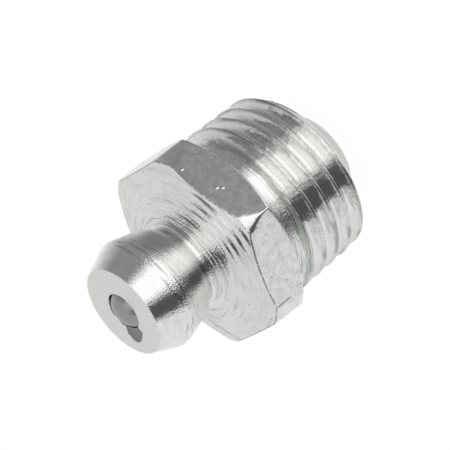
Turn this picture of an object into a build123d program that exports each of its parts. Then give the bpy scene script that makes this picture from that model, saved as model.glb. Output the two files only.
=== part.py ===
from build123d import *
from math import atan, ceil, cos, degrees, radians, sqrt, tan
import os

# Hydraulic (cone type) grease nipple with a tapered M10 x 1 shank and an 11 mm spanner hexagon.
# Millimetres. +Z runs along the axis towards the coupler head. The origin is the middle of the
# face that ends the pilot, so the nipple stands on that face. A hexagon corner points along -Y.

# ---- driving dimensions: outside, from the pilot up to the nose ----
pilot_diameter = 5.0
pilot_length = 1.5
pilot_chamfer = 0.25

thread_length = 4.6
thread_end_diameter = 9.93
thread_taper = 1 / 16
thread_pitch = 1.0
thread_lead_chamfer = 0.35
thread_lead_angle = 58
thread_back_chamfer = 0.2
thread_last_root = 0.374
runout_angle = 60

relief_diameter = 9.24
relief_length = 0.9

across_flats = 10.85
hexagon_length = 3.80
hexagon_face_angle = 20
corner_relief_diameter = 11.86
corner_relief_length = 1.35
hexagon_base_chamfer_diameter = 10.3
hexagon_base_chamfer_angle = 35

neck_diameter = 4.61
undercut_length = 0.814
shoulder_diameter = 5.79
shoulder_rounding = 1.5
grip_taper_length = 1.656
grip_ring_diameter = 6.71
grip_ring_width = 0.32
grip_ring_rounding = 0.4
front_cone_length = 1.56
nose_face_diameter = 5.4

# ---- driving dimensions: the check valve inside ----
inlet_diameter = 2.24
inlet_length = 0.13
inlet_edge = 0.04
seat_half_angle = 35
bore_diameter = 3.5
lip_hole_diameter = 2.0
lip_thickness = 0.45
ball_diameter = 3.0
ball_clearance = 0.02
wire_diameter = 0.35
spring_diameter = 2.85
spring_turns = 6
wire_sides = 5
spring_clearance = 0.02

# ---- the knock in the nose face, beside the inlet ----
dent_diameter = 1.4
dent_depth = 0.13
dent_centre_radius = 1.42
dent_angle = 161

# ---- heights that follow ----
thread_end_height = pilot_length
thread_top_height = thread_end_height + thread_length
hexagon_base_height = thread_top_height + relief_length
neck_height = hexagon_base_height + hexagon_length
shoulder_height = neck_height + undercut_length
grip_ring_height = shoulder_height + grip_taper_length
nose_height = grip_ring_height + grip_ring_width + front_cone_length


def thread_radius(height):
    """Crest radius of the tapered thread at a height."""
    return thread_end_diameter / 2 + (height - thread_end_height) * thread_taper / 2


# lead chamfer at the pilot end and back chamfer beside the relief
lead_height = thread_end_height + thread_lead_chamfer
lead_radius = thread_radius(lead_height) - thread_lead_chamfer * tan(radians(thread_lead_angle))
back_height = thread_top_height - thread_back_chamfer

# M thread profile: 60 degree flanks, a crest of an eighth of the pitch
thread_depth = 0.6134 * thread_pitch
groove_width = 7 / 8 * thread_pitch
cutter_headroom = 0.08 * thread_pitch
cutter_depth = thread_depth + cutter_headroom
cutter_width = groove_width + 2 * cutter_headroom * tan(radians(30))

# the groove climbs right-handed to its last root, then fades out
groove_top_height = thread_top_height - thread_last_root
groove_turns = ceil((groove_top_height - thread_end_height + groove_width / 2) / thread_pitch)
groove_low_height = groove_top_height - groove_turns * thread_pitch
runout_rise = runout_angle / 360 * thread_pitch
runout_root_radius = thread_radius(groove_top_height) - thread_depth

# a shallow spherical scoop makes the knock
dent_radius = ((dent_diameter / 2) ** 2 + dent_depth**2) / (2 * dent_depth)

# hexagon: a cone trims its face and a steep one the front of its corners, a chamfer its base
hexagon_corner_radius = across_flats / sqrt(3)
hexagon_base_rise = hexagon_corner_radius - hexagon_base_chamfer_diameter / 2
hexagon_base_rise *= tan(radians(hexagon_base_chamfer_angle))
hexagon_rim_radius = corner_relief_diameter / 2
hexagon_face_drop = (hexagon_rim_radius - neck_diameter / 2) * tan(radians(hexagon_face_angle))
hexagon_rim_height = neck_height - hexagon_face_drop

# ball seat: a cone that widens from the inlet down to the bore, with the ball close under it
seat_top_height = nose_height - inlet_length
seat_length = (bore_diameter - inlet_diameter) / 2 / tan(radians(seat_half_angle))
seat_radius_at_ball = (ball_diameter / 2 + ball_clearance) / cos(radians(seat_half_angle))
ball_drop = (seat_radius_at_ball - inlet_diameter / 2) / tan(radians(seat_half_angle))
ball_height = seat_top_height - ball_drop

# spring: it stands on the rolled lip and its top turn carries the ball
spring_radius = (spring_diameter - wire_diameter) / 2
spring_reach = ball_diameter / 2 + wire_diameter / 2 + spring_clearance
spring_top_height = ball_height - sqrt(spring_reach**2 - spring_radius**2)
spring_low_height = lip_thickness + wire_diameter / 2 + spring_clearance
spring_pitch = (spring_top_height - spring_low_height) / spring_turns


# ---- body: one turned and rolled piece ----
with BuildPart() as body:
    # turned outline: pilot, tapered thread blank, relief, hexagon collar, neck, coupler head
    with BuildSketch(Plane.XZ):
        with BuildLine():
            outline = FilletPolyline(
                (0, 0),
                (pilot_diameter / 2 - pilot_chamfer, 0),
                (pilot_diameter / 2, pilot_chamfer),
                (pilot_diameter / 2, thread_end_height),
                (lead_radius, thread_end_height),
                (thread_radius(lead_height), lead_height),
                (thread_radius(back_height), back_height),
                (relief_diameter / 2, thread_top_height),
                (relief_diameter / 2, hexagon_base_height),
                (hexagon_base_chamfer_diameter / 2, hexagon_base_height),
                (hexagon_corner_radius, hexagon_base_height + hexagon_base_rise),
                (hexagon_corner_radius, hexagon_rim_height - corner_relief_length),
                (hexagon_rim_radius, hexagon_rim_height),
                (neck_diameter / 2, neck_height),
                (shoulder_diameter / 2, shoulder_height),
                (grip_ring_diameter / 2, grip_ring_height),
                (grip_ring_diameter / 2, grip_ring_height + grip_ring_width),
                (nose_face_diameter / 2, nose_height),
                (0, nose_height),
                radius=[0] * 13 + [shoulder_rounding, grip_ring_rounding, grip_ring_rounding, 0],
            )
            Line(outline @ 1, outline @ 0)
        make_face()
    revolve(axis=Axis.Z)

    # six flats on the collar
    with BuildSketch(Plane.XY.offset(hexagon_base_height)):
        Circle(2 * hexagon_corner_radius)
        RegularPolygon(across_flats / 2, 6, major_radius=False, rotation=30, mode=Mode.SUBTRACT)
    extrude(amount=hexagon_length, mode=Mode.SUBTRACT)

    # passage: lip hole, bore, conical ball seat and inlet
    with BuildSketch(Plane.XZ):
        with BuildLine():
            Polyline(
                (0, 0),
                (lip_hole_diameter / 2, 0),
                (lip_hole_diameter / 2, lip_thickness),
                (bore_diameter / 2, lip_thickness),
                (bore_diameter / 2, seat_top_height - seat_length),
                (inlet_diameter / 2, seat_top_height),
                (inlet_diameter / 2, nose_height - inlet_edge),
                (inlet_diameter / 2 + inlet_edge, nose_height),
                (0, nose_height),
                close=True,
            )
        make_face()
    revolve(axis=Axis.Z, mode=Mode.SUBTRACT)

    # thread groove up to its last root
    with BuildLine() as groove_path:
        groove_helix = Helix(
            thread_pitch,
            groove_top_height - groove_low_height,
            thread_radius(groove_low_height) - thread_depth,
            center=(0, 0, groove_low_height),
            cone_angle=degrees(atan(thread_taper / 2)),
        )
    with BuildSketch(Plane(groove_helix @ 0, x_dir=(1, 0, 0), z_dir=groove_helix % 0)):
        Trapezoid(cutter_width, cutter_depth, 60, align=(Align.CENTER, Align.MAX), rotation=90)
    sweep(path=groove_path.line, is_frenet=True, mode=Mode.SUBTRACT)

    # the groove fades out as its last part climbs out of the shank
    with BuildLine() as runout_path:
        Helix(
            thread_pitch,
            runout_rise,
            runout_root_radius,
            center=(0, 0, groove_top_height),
            cone_angle=degrees(atan((thread_depth + cutter_headroom / 2) / runout_rise)),
        )
    with BuildSketch(Plane(groove_helix @ 1, x_dir=(1, 0, 0), z_dir=groove_helix % 1)):
        Trapezoid(cutter_width, cutter_depth, 60, align=(Align.CENTER, Align.MAX), rotation=90)
    sweep(path=runout_path.line, is_frenet=True, mode=Mode.SUBTRACT)

    # knock in the nose face
    with Locations(Plane.XY.offset(nose_height - dent_depth + dent_radius)):
        with PolarLocations(dent_centre_radius, 1, dent_angle):
            Sphere(dent_radius, mode=Mode.SUBTRACT)

# ---- ball ----
with BuildPart() as ball:
    with Locations((0, 0, ball_height)):
        Sphere(ball_diameter / 2)

# ---- spring ----
with BuildPart() as spring:
    with BuildLine() as coil_path:
        coil = Helix(
            spring_pitch,
            spring_top_height - spring_low_height,
            spring_radius,
            center=(0, 0, spring_low_height),
        )
    with BuildSketch(Plane(coil @ 0, x_dir=(1, 0, 0), z_dir=coil % 0)):
        RegularPolygon(wire_diameter / 2, wire_sides)
    sweep(path=coil_path.line, is_frenet=True)

body.part.label = "body"
ball.part.label = "ball"
spring.part.label = "spring"

os.makedirs("parts", exist_ok=True)
export_step(body.part, "parts/body.step")
export_step(ball.part, "parts/ball.step")
export_step(spring.part, "parts/spring.step")
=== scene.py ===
import bpy
import math
from mathutils import Matrix, Vector


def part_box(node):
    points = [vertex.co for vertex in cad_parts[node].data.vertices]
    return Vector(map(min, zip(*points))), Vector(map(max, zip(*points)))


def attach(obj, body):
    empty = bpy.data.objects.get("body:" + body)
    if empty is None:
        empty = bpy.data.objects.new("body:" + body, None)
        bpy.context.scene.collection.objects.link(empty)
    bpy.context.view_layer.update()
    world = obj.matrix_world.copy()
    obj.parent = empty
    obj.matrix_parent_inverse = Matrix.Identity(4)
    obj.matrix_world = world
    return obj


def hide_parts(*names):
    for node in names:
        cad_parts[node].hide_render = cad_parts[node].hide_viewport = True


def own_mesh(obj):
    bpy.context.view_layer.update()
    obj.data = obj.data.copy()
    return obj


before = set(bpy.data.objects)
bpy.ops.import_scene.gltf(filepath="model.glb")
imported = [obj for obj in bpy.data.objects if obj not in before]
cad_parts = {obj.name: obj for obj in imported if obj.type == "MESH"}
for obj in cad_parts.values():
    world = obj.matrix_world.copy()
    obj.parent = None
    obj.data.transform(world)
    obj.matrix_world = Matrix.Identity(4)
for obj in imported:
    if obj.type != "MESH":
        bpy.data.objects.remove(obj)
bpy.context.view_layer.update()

# A zinc-plated grease nipple, standing on its pilot end. +Z runs up its axis to the coupler head.
# Lengths are in millimetres and turned into metres where a mesh is made.
MM = 0.001

# ---- sizes read from the frame ----
body_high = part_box("body")[1]
ball_low, ball_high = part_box("ball")
spring_low, spring_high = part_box("spring")
NOSE = body_high.z / MM
HALF_FLATS = body_high.x / MM
CORNER = HALF_FLATS / math.cos(math.radians(30))
BALL_RADIUS = (ball_high.z - ball_low.z) / 2 / MM
BALL_CENTRE = (ball_high.z + ball_low.z) / 2 / MM

# ---- radii of the turned body ----
PILOT = 2.5
RELIEF = 4.62
BASE_CHAMFER = 5.15
NECK = 2.305
SHOULDER = 2.895
RING = 3.355
NOSE_FACE = 2.7
INLET = 1.12
BORE = 1.75
LIP_HOLE = 1.0

# ---- heights and slopes of the turned body ----
LIP_TOP = 0.45
THREAD_END = 1.5
THREAD_TOP = 6.1
SHANK_TOP = THREAD_TOP + 0.1
COLLAR_BASE = 7.0
NECK_HEIGHT = 10.8
SHOULDER_HEIGHT = 11.614
RING_LOW = 13.27
RING_HIGH = 13.59
SEAT_LOW = 14.12
SEAT_TOP = 15.02
BASE_SLOPE = math.tan(math.radians(35))
FACE_SLOPE = math.tan(math.radians(20))

# ---- the hexagon ----
# by the angle a corner points to: the radii it is turned down to, at its front and back, and its rounding
CORNERS = {
    -90: (6.0, 6.42, 0.1),
    -30: (5.87, 6.2, 0.42),
    30: (5.98, 6.08, 0.1),
    90: (5.98, 6.2, 0.1),
    150: (6.1, 6.2, 0.1),
    -150: (5.88, 6.0, 0.1),
}
HALF_FLAT_ANGLE = math.pi / 6
FACE_ROUNDING = 0.12
BASE_ROUNDING = 0.2
# a corner's front radius holds where its rim meets the face, and its back radius at this height
FRONT_RIM = 5.93
BACK_RIM_HEIGHT = COLLAR_BASE + 0.7
# the collar stays round inside this radius, and the outermost band of its faces moves in as it is
ROUND_INSIDE = 4.5
RIM_BAND = 0.3

# ---- the knock in the nose face ----
# the wall is the width of its slope, and out to its reach the face's points are close together
KNOCK_DEPTH = 0.13
KNOCK_WALL = 0.3
KNOCK_REACH = 2.1
KNOCK_OUTLINE = [(-0.6, 0.9), (-1.17, 1.24), (-1.58, 1.2), (-1.88, 0.96), (-1.98, 0.68), (-1.87, 0.28),
                 (-1.5, -0.33), (-0.9, -0.3)]

# ---- the thread ----
# the taper is on the diameter, and the radius is that of the crests at the thread's end
PITCH = 1.0
TAPER = 1 / 16
THREAD_RADIUS = 4.965
THREAD_DEPTH = 0.6134
# height of the highest root where its angle is 0, and the angle over which it runs out
LAST_ROOT = 5.726
RUNOUT = math.radians(60)
LEAD_HEIGHT = 1.85
LEAD_SLOPE = 1 / math.tan(math.radians(58))
BACK_CHAMFER = 0.2

# ---- ball and spring ----
WIRE_RADIUS = 0.175
SPRING_TURNS = 6

# ---- how finely the meshes are made ----
# columns round the body, how far they crowd towards the hexagon's corners (0 to 1) and rows to a pitch
COLUMNS = 360
CROWDING = 0.75
THREAD_ROWS = 18
# sides of the spring's wire and steps to each of its turns
WIRE_SIDES = 14
WIRE_STEPS = 48
BALL_COLUMNS = 96
BALL_ROWS = 64
# degrees from point to point on a rounding, and how far off each end of it a further point stands
ARC_STEP = 14
SUPPORT = 0.03
# a step longer than any run, and the share of a step that a run may be too long by
ONE_RUN = 20
STEP_SPARE = 0.01
SMOOTH_BELOW = math.radians(40)
# points closer than this are one
TINY = 1e-4


# ---- modelling helpers ----
def select_none():
    """Leaves object mode with nothing selected."""
    if bpy.context.object and bpy.context.object.mode != "OBJECT":
        bpy.ops.object.mode_set(mode="OBJECT")
    bpy.ops.object.select_all(action="DESELECT")


def make_active(piece):
    """Selects a piece as the active one."""
    piece.select_set(True)
    bpy.context.view_layer.objects.active = piece


def wire(name, points):
    """A line of edges through points given as (radius, height), drawn in the XZ plane."""
    select_none()
    bpy.ops.mesh.primitive_plane_add(size=MM, location=(0, 0, 0))
    piece = bpy.context.object
    piece.name = name
    bpy.ops.object.mode_set(mode="EDIT")
    bpy.ops.mesh.merge(type="CENTER")
    at = Vector((points[0][0] * MM, 0, points[0][1] * MM))
    bpy.ops.transform.translate(value=at)
    for radius, height in points[1:]:
        to = Vector((radius * MM, 0, height * MM))
        bpy.ops.mesh.extrude_region_move(TRANSFORM_OT_translate={"value": to - at})
        at = to
    bpy.ops.object.mode_set(mode="OBJECT")
    return piece


def spun(piece, columns):
    """Spins a line of edges once round the axis."""
    make_active(piece)
    bpy.ops.object.mode_set(mode="EDIT")
    bpy.ops.mesh.select_all(action="SELECT")
    bpy.ops.mesh.spin(steps=columns, angle=math.tau, center=(0, 0, 0), axis=(0, 0, 1))
    bpy.ops.object.mode_set(mode="OBJECT")


def close_up(piece):
    """Merges doubled points and turns the faces outwards."""
    select_none()
    make_active(piece)
    bpy.ops.object.mode_set(mode="EDIT")
    bpy.ops.mesh.select_all(action="SELECT")
    bpy.ops.mesh.remove_doubles(threshold=TINY * MM)
    bpy.ops.mesh.dissolve_degenerate(threshold=TINY * MM)
    bpy.ops.mesh.select_all(action="SELECT")
    bpy.ops.mesh.normals_make_consistent(inside=False)
    bpy.ops.object.mode_set(mode="OBJECT")


def held(share):
    """A share held between 0 and 1."""
    return min(max(share, 0), 1)


def arc(before, here, after, rounding):
    """The points that round off a corner, with a supporting point before the first and after the last."""
    back = (before - here).normalized()
    ahead = (after - here).normalized()
    half = back.angle(ahead) / 2
    reach = rounding / math.tan(half)
    centre = here + (back + ahead).normalized() * rounding / math.sin(half)
    first, last = here + back * reach, here + ahead * reach
    start, end = first - centre, last - centre
    turn = math.pi - 2 * half
    way = 1 if start.x * end.y - start.y * end.x > 0 else -1
    count = max(3, math.ceil(math.degrees(turn) / ARC_STEP))
    turned = [centre + Matrix.Rotation(way * turn * k / count, 2) @ start for k in range(count + 1)]
    return [first + back * SUPPORT, *turned, last + ahead * SUPPORT]


def rounded(corners):
    """Points along an outline. A corner is (radius, height, rounding, longest step to the next)."""
    points = []
    longest = ONE_RUN
    for i, (x, z, rounding, step) in enumerate(corners):
        stretch = [Vector((x, z))]
        if rounding:
            stretch = arc(Vector(corners[i - 1][:2]), stretch[0], Vector(corners[i + 1][:2]), rounding)
        if points:
            run = stretch[0] - points[-1]
            pieces = max(1, math.ceil(run.length / longest - STEP_SPARE))
            points += [points[-1] + run * k / pieces for k in range(1, pieces)]
        points += stretch
        longest = step
    return [(p.x, p.y) for p in points]


# ---- the hexagon ----
def face_height(radius):
    """Height of the collar's sloping front face at a radius."""
    return NECK_HEIGHT - (radius - NECK) * FACE_SLOPE


def base_height(radius):
    """Height of the collar's base, with its chamfer, at a radius."""
    return COLLAR_BASE + max(radius - BASE_CHAMFER, 0) * BASE_SLOPE


def nearest_corner(angle):
    """The row of CORNERS that an angle is nearest to."""
    return CORNERS[min(CORNERS, key=lambda c: abs((math.degrees(angle) - c + 180) % 360 - 180))]


def flats_radius(angle):
    """Distance from the axis to the hexagon's side at an angle, with rounded corners."""
    rounding = nearest_corner(angle)[2]
    flat_angle = 2 * HALF_FLAT_ANGLE
    from_corner = (angle - HALF_FLAT_ANGLE) % flat_angle
    from_corner = min(from_corner, flat_angle - from_corner)
    centre = (HALF_FLATS - rounding) / math.cos(HALF_FLAT_ANGLE)
    tangent = math.atan2(rounding / 2, centre + rounding * math.cos(HALF_FLAT_ANGLE))
    if from_corner < tangent:
        across = centre * math.sin(from_corner)
        return centre * math.cos(from_corner) + math.sqrt(rounding**2 - across**2)
    return HALF_FLATS / math.cos(HALF_FLAT_ANGLE - from_corner)


def rim_radius(angle, height):
    """Radius of the collar's side at an angle and a height: its flat, or its turned-down corner."""
    front, back, _ = nearest_corner(angle)
    front_height = face_height(FRONT_RIM)
    share = held((front_height - height) / (front_height - BACK_RIM_HEIGHT))
    return min(flats_radius(angle), front + (back - front) * share)


def shape_hexagon(piece):
    """Moves the round collar's points in to the six flats."""
    side_top = face_height(CORNER) - FACE_ROUNDING
    side_low = base_height(CORNER) + BASE_ROUNDING
    for vertex in piece.data.vertices:
        x, y, z = vertex.co / MM
        radius = math.hypot(x, y)
        if not (COLLAR_BASE - TINY < z < NECK_HEIGHT and radius > ROUND_INSIDE):
            continue
        angle = math.atan2(y, x)
        if side_low < z < side_top:
            low = base_height(rim_radius(angle, side_low)) + BASE_ROUNDING
            high = face_height(rim_radius(angle, side_top)) - FACE_ROUNDING
            z = low + (z - side_low) / (side_top - side_low) * (high - low)
            new = rim_radius(angle, z)
        else:
            on_face = z >= side_top
            surface = face_height if on_face else base_height
            rim = rim_radius(angle, face_height(FRONT_RIM) if on_face else BACK_RIM_HEIGHT)
            lift = z - surface(radius)
            if CORNER - radius > RIM_BAND:
                share = (radius - ROUND_INSIDE) / (CORNER - RIM_BAND - ROUND_INSIDE)
                new = ROUND_INSIDE + share * (rim - RIM_BAND - ROUND_INSIDE)
            else:
                new = rim - (CORNER - radius)
            z = surface(new) + lift
        vertex.co = Vector((math.cos(angle) * new, math.sin(angle) * new, z)) * MM


# ---- the thread ----
def crest_radius(height):
    """Radius of the thread's tapered crests at a height."""
    return THREAD_RADIUS + (height - THREAD_END) * TAPER / 2


def blank_radius(height):
    """Radius of the shank before its thread is rolled, with a chamfer at both ends."""
    crest = crest_radius(height)
    lead = crest_radius(LEAD_HEIGHT) - (LEAD_HEIGHT - height) / LEAD_SLOPE
    back = crest + (RELIEF - crest) * held((height - THREAD_TOP + BACK_CHAMFER) / BACK_CHAMFER)
    return min(crest, lead, back)


def softened(value, blend):
    """0 below 0 and the value above it, with a soft bend between."""
    return blend * math.log1p(math.exp(value / blend))


def groove_depth(offset):
    """Depth of the thread's groove at a distance from its middle, with rounded root and crests."""
    half_width = 7 / 16 * PITCH
    flank = (half_width - abs(offset)) / math.tan(math.radians(30))
    crest_blend = 0.05
    root_blend = 0.17
    return THREAD_DEPTH - softened(THREAD_DEPTH - softened(flank, crest_blend), root_blend)


def thread_radius(angle, height):
    """Radius of the threaded shank at an angle and a height. The last groove runs out."""
    turns = angle / math.tau
    groove = round((height - LAST_ROOT) / PITCH - turns)
    if groove > 0:
        return blank_radius(height)
    middle = LAST_ROOT + (groove + turns) * PITCH
    faded = max(angle, 0) / RUNOUT if groove == 0 else 0
    cut = crest_radius(height) - groove_depth(height - middle) + THREAD_DEPTH * faded
    return min(blank_radius(height), cut)


def make_shank():
    """The threaded shank: a line of points along the axis, screwed round once and shaped."""
    # the screw lifts each column by up to a turn, so the line starts below the thread and ends above it
    turns_below = 2.5
    spare = 0.4
    low = THREAD_END - turns_below * PITCH
    rows = int((THREAD_TOP + spare + PITCH - low) / PITCH * THREAD_ROWS)
    shank = wire("shank", [(THREAD_RADIUS, low + k * PITCH / THREAD_ROWS) for k in range(rows + 1)])
    screw = shank.modifiers.new("screw", "SCREW")
    screw.steps = screw.render_steps = COLUMNS
    screw.screw_offset = PITCH * MM
    bpy.ops.object.modifier_apply(modifier="screw")
    crowd_columns(shank)
    inner_end = THREAD_END - PITCH - TINY
    for vertex in shank.data.vertices:
        x, y, z = vertex.co / MM
        angle = math.atan2(y, x)
        if z < inner_end:
            radius, z = PILOT, THREAD_END
        else:
            z = min(max(z, THREAD_END), SHANK_TOP)
            radius = thread_radius(angle, z)
        vertex.co = Vector((math.cos(angle) * radius, math.sin(angle) * radius, z)) * MM
    return shank


def crowd_columns(piece):
    """Gathers the columns of points towards the hexagon's corners, where the small roundings are."""
    for vertex in piece.data.vertices:
        radius = math.hypot(vertex.co.x, vertex.co.y)
        angle = math.atan2(vertex.co.y, vertex.co.x)
        angle += CROWDING / 6 * math.sin(6 * angle)
        vertex.co.x = math.cos(angle) * radius
        vertex.co.y = math.sin(angle) * radius


# ---- the body ----
def make_body():
    """The turned body from the pilot through the passage, the head and the collar to the relief."""
    corners = [
        (PILOT, THREAD_END, 0, 0.5),
        (PILOT, 0, 0.22, 0.5),
        (LIP_HOLE, 0, 0.1, 0.5),
        (LIP_HOLE, LIP_TOP, 0.08, 0.5),
        (BORE, LIP_TOP, 0, ONE_RUN),
        (BORE, SEAT_LOW, 0, 0.5),
        (INLET, SEAT_TOP, 0.03, 0.5),
        (INLET, NOSE, 0.035, 0.045),
        (KNOCK_REACH, NOSE, 0, 0.4),
        (NOSE_FACE, NOSE, 0.1, 0.4),
        (RING, RING_HIGH, 0.4, 0.2),
        (RING, RING_LOW, 0.4, 0.4),
        (SHOULDER, SHOULDER_HEIGHT, 1.5, 0.4),
        (NECK, NECK_HEIGHT, 0.2, 0.3),
        (CORNER, face_height(CORNER), FACE_ROUNDING, 0.25),
        (CORNER, base_height(CORNER), BASE_ROUNDING, 0.2),
        (BASE_CHAMFER, COLLAR_BASE, 0.1, 0.3),
        (RELIEF, COLLAR_BASE, 0.12, 0.4),
        (RELIEF, SHANK_TOP, 0, ONE_RUN),
    ]
    body = wire("nipple_body", rounded(corners))
    spun(body, COLUMNS)
    crowd_columns(body)
    close_up(body)
    shape_hexagon(body)
    sink_knock(body)
    shank = make_shank()
    select_none()
    shank.select_set(True)
    make_active(body)
    bpy.ops.object.join()
    close_up(body)
    bpy.ops.object.shade_smooth_by_angle(angle=SMOOTH_BELOW)
    return body


def sink_knock(piece):
    """Presses the shallow knock into the nose face, beside the inlet."""
    sides = [(Vector(a), Vector(b) - Vector(a))
             for a, b in zip(KNOCK_OUTLINE, KNOCK_OUTLINE[1:] + KNOCK_OUTLINE[:1])]
    for vertex in piece.data.vertices:
        place = (vertex.co / MM).xy
        z = vertex.co.z / MM
        inside = min((run.y * (place - start).x - run.x * (place - start).y) / -run.length
                     for start, run in sides)
        if z > NOSE - KNOCK_DEPTH and inside > 0 and place.length < NOSE_FACE:
            depth = KNOCK_DEPTH * math.sin(min(inside / KNOCK_WALL, 1) * math.pi / 2)
            vertex.co.z = min(z, NOSE - depth) * MM


# ---- ball and spring ----
def make_spring():
    """The round wire that is wound into the valve's spring, with flat-cut ends."""
    low, high = spring_low.z / MM + WIRE_RADIUS, spring_high.z / MM - WIRE_RADIUS
    coil = spring_high.x / MM - WIRE_RADIUS
    select_none()
    bpy.ops.mesh.primitive_circle_add(vertices=WIRE_SIDES, radius=WIRE_RADIUS * MM,
                                      location=(coil * MM, 0, low * MM),
                                      rotation=(math.radians(90), 0, 0))
    spring = bpy.context.object
    spring.name = "valve_spring"
    bpy.ops.object.transform_apply(location=True, rotation=True, scale=True)
    screw = spring.modifiers.new("screw", "SCREW")
    screw.angle = SPRING_TURNS * math.tau
    screw.screw_offset = (high - low) * MM
    screw.steps = screw.render_steps = SPRING_TURNS * WIRE_STEPS
    bpy.ops.object.modifier_apply(modifier="screw")
    bpy.ops.object.mode_set(mode="EDIT")
    bpy.ops.mesh.select_all(action="SELECT")
    bpy.ops.mesh.region_to_loop()
    bpy.ops.mesh.fill_holes(sides=WIRE_SIDES)
    bpy.ops.object.mode_set(mode="OBJECT")
    close_up(spring)
    bpy.ops.object.shade_smooth_by_angle(angle=SMOOTH_BELOW)
    return spring


def make_ball():
    """The check ball: half a circle of edges, spun round the axis."""
    leans = [math.pi * k / BALL_ROWS for k in range(BALL_ROWS + 1)]
    ball = wire("check_ball", [(BALL_RADIUS * math.sin(lean), BALL_CENTRE - BALL_RADIUS * math.cos(lean))
                               for lean in leans])
    spun(ball, BALL_COLUMNS)
    close_up(ball)
    bpy.ops.object.shade_smooth()
    return ball


# ---- shader maths ----
class Value:
    """A socket of a node tree. Arithmetic on it adds the Math nodes."""

    def __init__(self, tree, socket):
        self.tree = tree
        self.socket = socket

    def math(self, operation, *others):
        """The Math node with this operation, on this value and the others."""
        return node(self.tree, "Math", {"operation": operation}, dict(enumerate((self, *others))))

    def __add__(self, other):
        return self.math("ADD", other)

    def __sub__(self, other):
        return self.math("SUBTRACT", other)

    def __rsub__(self, other):
        return node(self.tree, "Math", {"operation": "SUBTRACT"}, {0: other, 1: self})

    def __mul__(self, other):
        return self.math("MULTIPLY", other)

    def __truediv__(self, other):
        return self.math("DIVIDE", other)

    def __pow__(self, other):
        return self.math("POWER", other)

    def __gt__(self, other):
        return self.math("GREATER_THAN", other)

    __radd__ = __add__
    __rmul__ = __mul__

    def between(self, low, high):
        """0 up to low, 1 from high on and smooth between them. Falls where low is the greater."""
        return node(self.tree, "MapRange", {"interpolation_type": "SMOOTHSTEP"}, {0: self, 1: low, 2: high})


def node(tree, kind, settings, sockets, output=0):
    """Adds a node with its settings and the values or links of its sockets, and gives an output."""
    made = tree.nodes.new("ShaderNode" + kind)
    for name, setting in settings.items():
        if name == "stops":
            set_stops(made.color_ramp, setting)
        else:
            setattr(made, name, setting)
    for name, value in sockets.items():
        if isinstance(value, Value):
            tree.links.new(value.socket, made.inputs[name])
        else:
            made.inputs[name].default_value = value
    return Value(tree, made.outputs[output]) if made.outputs else made


def set_stops(ramp, stops):
    """Puts (place, colour) stops on a colour ramp, in order of their places from 0 to 1."""
    while len(ramp.elements) < len(stops):
        ramp.elements.new(0.5)
    for element, (place, colour) in zip(ramp.elements, stops):
        element.position = place
        element.color = (*colour, 1)


# ---- materials ----
def new_material(name):
    """An empty node material and its tree."""
    material = bpy.data.materials.new(name)
    material.use_nodes = True
    material.node_tree.nodes.clear()
    return material, material.node_tree


def place_on(tree):
    """The place on the object as a vector in millimetres."""
    place = node(tree, "TexCoord", {}, {}, "Object")
    return node(tree, "VectorMath", {"operation": "SCALE"}, {0: place, "Scale": 1 / MM})


def parts_of(tree, vector):
    """A vector's x, y and z as values."""
    return [node(tree, "SeparateXYZ", {}, {0: vector}, axis) for axis in "XYZ"]


def from_axis(x, y):
    """The distance from the axis."""
    return (x * x + y * y) ** 0.5


def noise(tree, place, scale, detail=2, roughness=0.5):
    """A noise from about 0.3 to 0.7, with grains a millimetre over the scale wide."""
    return node(tree, "TexNoise", {}, {"Vector": place, "Scale": scale, "Detail": detail,
                                       "Roughness": roughness})


def mixed(tree, share, first, second):
    """The first colour where share is 0 and the second where it is 1."""
    first, second = ((*c, 1) if isinstance(c, tuple) else c for c in (first, second))
    return node(tree, "Mix", {"data_type": "RGBA"}, {0: share, 6: first, 7: second}, 2)


def streaks(tree, place, per_mm, reach):
    """A noise drawn out round the axis like turning marks, so many to the millimetre and a reach long."""
    x, y, z = parts_of(tree, place)
    across = (from_axis(x, y) + z) * per_mm
    drawn_out = node(tree, "CombineXYZ", {}, {0: x / reach, 1: y / reach, 2: across})
    return noise(tree, drawn_out, 1, 2, 0.6)


def marked(tree, place, points, size):
    """1 close to any of the points and 0 further off than the size."""
    far = [node(tree, "VectorMath", {"operation": "DISTANCE"}, {0: place, 1: point}, "Value")
           for point in points]
    return sum(distance.between(size, 0) for distance in far)


def along_line(x, y, start, end, width):
    """1 along the line between two places in plan and 0 beyond its width."""
    run = Vector(end) - Vector(start)
    length = run.length
    run.normalize()
    along = (x - start[0]) * run.x + (y - start[1]) * run.y
    across = ((x - start[0]) * run.y - (y - start[1]) * run.x).math("ABSOLUTE")
    ends = along.between(-width, width) * along.between(length + width, length)
    return across.between(width, width / 3) * ends


# ---- finishes of the zinc-plated body ----
# the plating where it is bright and dull, its tarnish (also the painted shade in turned lines), and the
# knock's dark grey, a painted reflection
ZINC = (0.82, 0.83, 0.81)
ZINC_DULL = (0.66, 0.67, 0.65)
TARNISH_AND_SHADE = (0.20, 0.21, 0.19)
KNOCK_PAINTED_REFLECTION = (0.23, 0.235, 0.22)
# the noise values over which the plating's fine mottle comes up
MOTTLE = (0.35, 0.7)
# the lathe's feed on the hexagon's face: the distance between its rings and the radius of one crest
FEED = 0.505
FEED_CREST = 4.744
# pits and a dark ragged line in the hexagon's face, nicks in the flat that faces +X -Y and a burr on an
# edge
FACE_PITS = [(5.31, 1.07, 9.67), (5.17, -0.97, 9.72), (-2.94, -1.39, 10.45), (-3.7, -2.22, 10.07),
             (-5.07, -2.4, 9.6)]
PIT_SIZE = 0.07
FACE_DARK_LINE = (-3.36, 2.76), (-5.22, 2.04)
DARK_LINE_WIDTH = 0.14
FLAT_NICKS = [(2.42, -4.87, 8.8), (2.23, -4.98, 8.57), (4.24, -3.82, 9.27)]
NICK_SIZE = 0.12
BURR = Vector((-4.67, -3.57))
BURR_STARTS = (8.3, 8.7)


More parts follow.
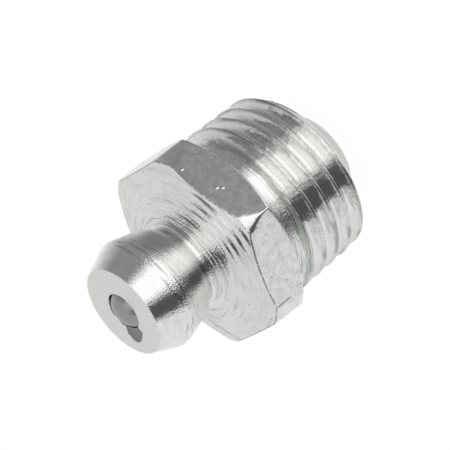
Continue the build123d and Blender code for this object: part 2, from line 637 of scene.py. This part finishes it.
def metal(tree, colour, rough, height):
    """The polished metal itself, with its relief in micrometres."""
    relief = node(tree, "Bump", {}, {"Distance": MM * MM, "Height": height})
    shader = node(tree, "BsdfPrincipled", {}, {"Base Color": colour, "Roughness": rough,
                                               "Metallic": 1, "Normal": relief})
    node(tree, "OutputMaterial", {}, {0: shader})


def turned_colour(tree, grain, broad):
    """The colour of the plating on turned metal, with a fine and a broad mottle."""
    return mixed(tree, grain.between(*MOTTLE) * 0.35 + broad.between(0.4, 0.65) * 0.25, ZINC, ZINC_DULL)


def head_finish():
    """The turned head, neck, seat and collar base: fine lines, deepest and darkest on the ring and behind
    it; their dark is partly dirt in the grooves and partly painted shade and reflection.
    """
    material, tree = new_material("zinc_turned")
    place = place_on(tree)
    z = parts_of(tree, place)[2]
    grain = noise(tree, place, 11, 1)
    broad = noise(tree, place, 1.1)
    lines = streaks(tree, place, 9, 1.5)
    ring = z.between(12.2, 13.1) * z.between(13.95, 13.6)
    neck = z.between(11.9, 11.4)
    deep_lines_and_shade = ring + neck * 0.3
    # dark turned lines, strongest on the ring and the neck: partly dirt, partly painted shade and painted
    # reflection
    dark = lines.between(0.52, 0.62) * (deep_lines_and_shade * 0.6 + 0.08)
    colour = mixed(tree, dark, turned_colour(tree, grain, broad), TARNISH_AND_SHADE)
    height = lines * (deep_lines_and_shade * 35 + 14) + grain * (deep_lines_and_shade * 10 + 9)
    metal(tree, colour, grain * 0.08 + 0.04, height)
    return material


def face_finish():
    """The hexagon's sloping faces: turned rings, deep and bright close to the neck, with dark lines that
    are partly dirt and, growing towards the neck, painted shade.
    """
    material, tree = new_material("zinc_face")
    place = place_on(tree)
    x, y = parts_of(tree, place)[:2]
    radius = from_axis(x, y)
    grain = noise(tree, place, 8, 1)
    broad = noise(tree, place, 1.1)
    lines = streaks(tree, place, 10, 2)
    rings = streaks(tree, place, 3, 5)
    inner = radius.between(4.6, 3.2)
    feed = ((radius - FEED_CREST) * (math.tau / FEED)).math("COSINE") * radius.between(4.3, 4.8)
    pits = marked(tree, place, FACE_PITS, PIT_SIZE)
    # a dark ragged line across the face, broken by the grain
    dark_line = along_line(x, y, *FACE_DARK_LINE, DARK_LINE_WIDTH) * grain.between(0.3, 0.5) * 0.7
    # the dark lines grow stronger towards the neck: painted shade where the face meets the neck, partly
    # dirt in the grooves
    dark = lines.between(0.52, 0.68) * (inner * 0.25 + 0.16) + pits + dark_line
    colour = mixed(tree, dark, turned_colour(tree, grain, broad), TARNISH_AND_SHADE)
    height = lines * (inner * 12 + 9) + rings * (inner * 200 + 50)
    height = height + grain * (inner * 14 + 8) + feed * (8 + broad * 12)
    metal(tree, colour, grain * 0.1 + 0.08, height)
    return material


def flat_finish():
    """The hexagon's flats: drawn bar, mottled, with a few bright and dark nicks."""
    material, tree = new_material("zinc_flats")
    place = place_on(tree)
    x, y, z = parts_of(tree, place)
    grain = noise(tree, place, 8, 1)
    broad = noise(tree, place, 2.4, 3)
    spots = noise(tree, place, 5, 1)
    burr = from_axis(x - BURR.x, y - BURR.y) + grain * 0.06
    burr = burr.between(0.12, 0.05) * z.between(*BURR_STARTS)
    mottle = broad.between(0.35, 0.65) * 0.7 + grain.between(0.4, 0.7) * 0.3
    colour = mixed(tree, mottle, ZINC, ZINC_DULL)
    colour = mixed(tree, spots.between(0.7, 0.76) * 0.5 + burr * 0.8, colour, TARNISH_AND_SHADE)
    nicks = marked(tree, place, FLAT_NICKS, NICK_SIZE)
    metal(tree, colour, grain * 0.12 + 0.08, grain * 3 + broad * 5 + nicks * 30)
    return material


def thread_finish():
    """The rolled thread, streaked and rough on its crests, with the relief, the pilot and the bore. The
    pilot and the relief's -X side are painted darker as painted shade.
    """
    material, tree = new_material("zinc_thread")
    place = place_on(tree)
    x, y, z = parts_of(tree, place)
    grain = noise(tree, place, 8, 1)
    fine = noise(tree, place, 14, 1)
    waves = noise(tree, place, 1.8, 1)
    lines = streaks(tree, place, 9, 2.5)
    crest = (from_axis(x, y) - z * (TAPER / 2) + (grain - 0.5) * 0.12).between(4.7, 4.86)
    relief = z.between(5.85, 6.0)
    # the relief's turned lines are deeper on its -X side and painted darker there: painted shade
    deep_lines_and_shade = relief * x.between(1.4, -0.4)
    # the pilot under the thread is painted darker: painted shade
    pilot = z.between(THREAD_END + 0.05, THREAD_END - 0.05)
    dark = lines.between(0.48, 0.62) * (deep_lines_and_shade * 0.4 + crest * 0.45 + 0.08) + pilot * 0.2
    colour = mixed(tree, grain.between(*MOTTLE) * 0.25, ZINC, ZINC_DULL)
    colour = mixed(tree, crest * (fine.between(0.35, 0.6) * 0.3 + 0.05), colour, TARNISH_AND_SHADE)
    colour = mixed(tree, dark, colour, TARNISH_AND_SHADE)
    height = waves * 22 + grain * 5 + lines * (deep_lines_and_shade * 25 + 26) + fine * (crest * 7 + deep_lines_and_shade * 22)
    metal(tree, colour, crest * 0.06 + grain * 0.08 + 0.09, height)
    return material


def nose_finish():
    """The nose face: evenly grained, with the knock painted dark grey as a painted reflection."""
    material, tree = new_material("zinc_nose")
    place = place_on(tree)
    z = parts_of(tree, place)[2]
    grain = noise(tree, place, 7, 3)
    fine = noise(tree, place, 20, 2)
    # the knock is painted dark grey: a painted dark reflection
    knock = z.between(NOSE - 0.01, NOSE - 0.04)
    mottle = grain.between(*MOTTLE) * 0.4 + fine.between(0.4, 0.65) * 0.4
    colour = mixed(tree, mottle, ZINC, ZINC_DULL)
    colour = mixed(tree, knock, colour, KNOCK_PAINTED_REFLECTION)
    metal(tree, colour, fine * 0.1 + 0.26, grain * 5 + fine * 3)
    return material


def edge_finish():
    """The hexagon's front edges, blackened and chipped, least on the side that faces +X."""
    material, tree = new_material("zinc_edge")
    place = place_on(tree)
    x, y = parts_of(tree, place)[:2]
    grain = noise(tree, place, 9, 1)
    chips = noise(tree, place, 3.5, 2)
    rim = from_axis(x, y).between(5.9, 5.8)
    worn = chips.between(0.36, 0.46) * (x.between(1.5, -1) * 0.5 + 0.35) * rim
    colour = mixed(tree, worn, ZINC_DULL, TARNISH_AND_SHADE)
    metal(tree, colour, grain * 0.1 + 0.12, grain * 20 + chips * 30)
    return material


# the order in which the finishes are put on the body
HEAD, FACE, FLAT, THREAD, NOSE_END, EDGE = range(6)
FINISHES = (head_finish, face_finish, flat_finish, thread_finish, nose_finish, edge_finish)
# the z of a normal: above these on the nose face and the hexagon's face, and less than this on its flats
NOSE_LEAN = 0.85
FACE_LEAN = 0.9
FLAT_LEAN = 0.45
SEAM = 0.01


def finish_of(face):
    """Which finish a face of the body gets, by its place and how far it leans."""
    x, y, z = face.center / MM
    radius = math.hypot(x, y)
    lean = face.normal.z
    if z < COLLAR_BASE - 0.1:
        return THREAD
    if z > NOSE - KNOCK_DEPTH - SEAM and radius > INLET - SEAM:
        return NOSE_END if lean > NOSE_LEAN else HEAD
    if z < NECK_HEIGHT and lean > FACE_LEAN:
        return FACE
    if z < NECK_HEIGHT and radius > NECK + 1:
        if abs(lean) < FLAT_LEAN:
            return FLAT
        if lean > 0:
            return EDGE
    return HEAD


def finish_body(piece):
    """Gives each face of the body its finish."""
    for finish in FINISHES:
        piece.data.materials.append(finish())
    for face in piece.data.polygons:
        face.material_index = finish_of(face)


def steel(name, colour, roughness):
    """Plain ground steel with a faint grain."""
    material, tree = new_material(name)
    grain = noise(tree, place_on(tree), 14)
    spread = 0.1
    darker, paler = (tuple(c * share for c in colour) for share in (1 - spread, 1 + spread))
    shade = mixed(tree, grain, darker, paler)
    rough = grain * spread + (roughness - spread / 2)
    shader = node(tree, "BsdfPrincipled", {}, {"Base Color": shade, "Metallic": 1, "Roughness": rough})
    node(tree, "OutputMaterial", {}, {0: shader})
    return material


# ---- the floor ----
FLOOR_GREY = (0.9, 0.9, 0.9, 1)
FLOOR_GLOW = 1.06
# how much of the floor's white the camera and the metal see
GLOW_SEEN = 0.9
GLOW_MIRRORED = 0.7
# beyond this distance from the axis the metal mirrors the studio and not the floor
MIRROR_REACH = 7


def make_floor():
    """A white floor that keeps the part's shadow."""
    select_none()
    bpy.ops.mesh.primitive_plane_add(size=2, location=(0, 0, 0))
    floor = bpy.context.object
    floor.name = "floor"
    material, tree = new_material("floor_white")
    x, y = parts_of(tree, place_on(tree))[:2]
    lit = node(tree, "BsdfDiffuse", {}, {"Color": FLOOR_GREY})
    white = node(tree, "Emission", {}, {"Strength": FLOOR_GLOW})
    clear = node(tree, "BsdfTransparent", {}, {})
    seen = node(tree, "LightPath", {}, {}, "Is Camera Ray")
    mirrored = node(tree, "LightPath", {}, {}, "Is Glossy Ray")
    glow = seen * GLOW_SEEN + mirrored * GLOW_MIRRORED
    surface = node(tree, "MixShader", {}, {0: glow, 1: lit, 2: white})
    far = mirrored * (from_axis(x, y) > MIRROR_REACH)
    surface = node(tree, "MixShader", {}, {0: far, 1: surface, 2: clear})
    node(tree, "OutputMaterial", {}, {0: surface})
    floor.data.materials.append(material)


# ---- the camera ----
AZIMUTH, ELEVATION, ROLL = math.radians(5.04), math.radians(27.37), math.radians(-129.1)
AIM = Vector((0, 1.98, 6.17)) * MM
DISTANCE = 269.96 * MM
LENS = 400
SENSOR = 36
NEAREST = 10 * MM
TO_CAMERA = Vector((math.sin(AZIMUTH) * math.cos(ELEVATION),
                    -math.cos(AZIMUTH) * math.cos(ELEVATION),
                    math.sin(ELEVATION)))


def make_camera():
    """A long lens that looks down on the head, rolled so that the nipple points to the lower left."""
    bpy.ops.object.camera_add(location=AIM + TO_CAMERA * DISTANCE)
    camera = bpy.context.object
    turn = TO_CAMERA.to_track_quat("Z", "Y").to_matrix() @ Matrix.Rotation(ROLL, 3, "Z")
    camera.rotation_euler = turn.to_euler()
    camera.data.sensor_width = SENSOR
    camera.data.lens = LENS
    camera.data.clip_start = NEAREST
    bpy.context.scene.camera = camera


# ---- the studio ----
# The part stands inside a ring of plain grey walls under a pale ceiling: a pale wall, a black flag, a
# strip lamp and a dark wall. A wall shows on the surfaces that face it, as seen from the camera.
PALE = 0.9
FLAG = 0.1
LAMP = 1.3
DARK = 0.3
CEILING = 0.8
# where along the ring, in degrees of azimuth, each wall begins and ends
WALL_PLACES = [
    (-180, PALE), (-120, PALE), (-115, FLAG), (-100, FLAG), (-90, LAMP), (-70, LAMP), (-60, DARK),
    (-30, DARK), (0, PALE), (180, PALE),
]
# the slants, the z of a surface's normal, between which the walls fade into the ceiling
CEILING_FADE = (0.6, 0.95)


def make_studio():
    """The world: walls that fan out round the part's axis, white to the camera."""
    world = bpy.data.worlds.new("studio")
    bpy.context.scene.world = world
    world.use_nodes = True
    tree = world.node_tree
    tree.nodes.clear()
    way = node(tree, "TexCoord", {}, {}, "Generated")
    leaning = node(tree, "VectorMath", {"operation": "ADD"}, {0: way, 1: TO_CAMERA})
    leaning = node(tree, "VectorMath", {"operation": "NORMALIZE"}, {0: leaning})
    x, y, slant = parts_of(tree, leaning)
    place = y.math("ARCTAN2", x) / math.tau + 0.5
    stops = [(azimuth / 360 + 0.5, (grey, grey, grey)) for azimuth, grey in WALL_PLACES]
    walls = node(tree, "ValToRGB", {"stops": stops}, {0: place})
    walls = mixed(tree, slant.between(*CEILING_FADE), walls, (CEILING, CEILING, CEILING))
    seen = node(tree, "LightPath", {}, {}, "Is Camera Ray")
    colour = mixed(tree, seen, walls, (1, 1, 1))
    background = node(tree, "Background", {}, {"Color": colour})
    node(tree, "OutputWorld", {}, {0: background})


# ---- the pieces ----
body = make_body()
finish_body(body)
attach(body, "nipple")
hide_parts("body")

spring = make_spring()
spring.data.materials.append(steel("spring_steel", (0.45, 0.45, 0.46), 0.3))
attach(spring, "nipple")
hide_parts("spring")
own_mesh(spring)

ball = make_ball()
ball.data.materials.append(steel("ball_steel", (0.34, 0.34, 0.33), 0.16))
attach(ball, "ball")
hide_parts("ball")

make_floor()
make_studio()
make_camera()
bpy.context.scene.view_settings.view_transform = "Standard"
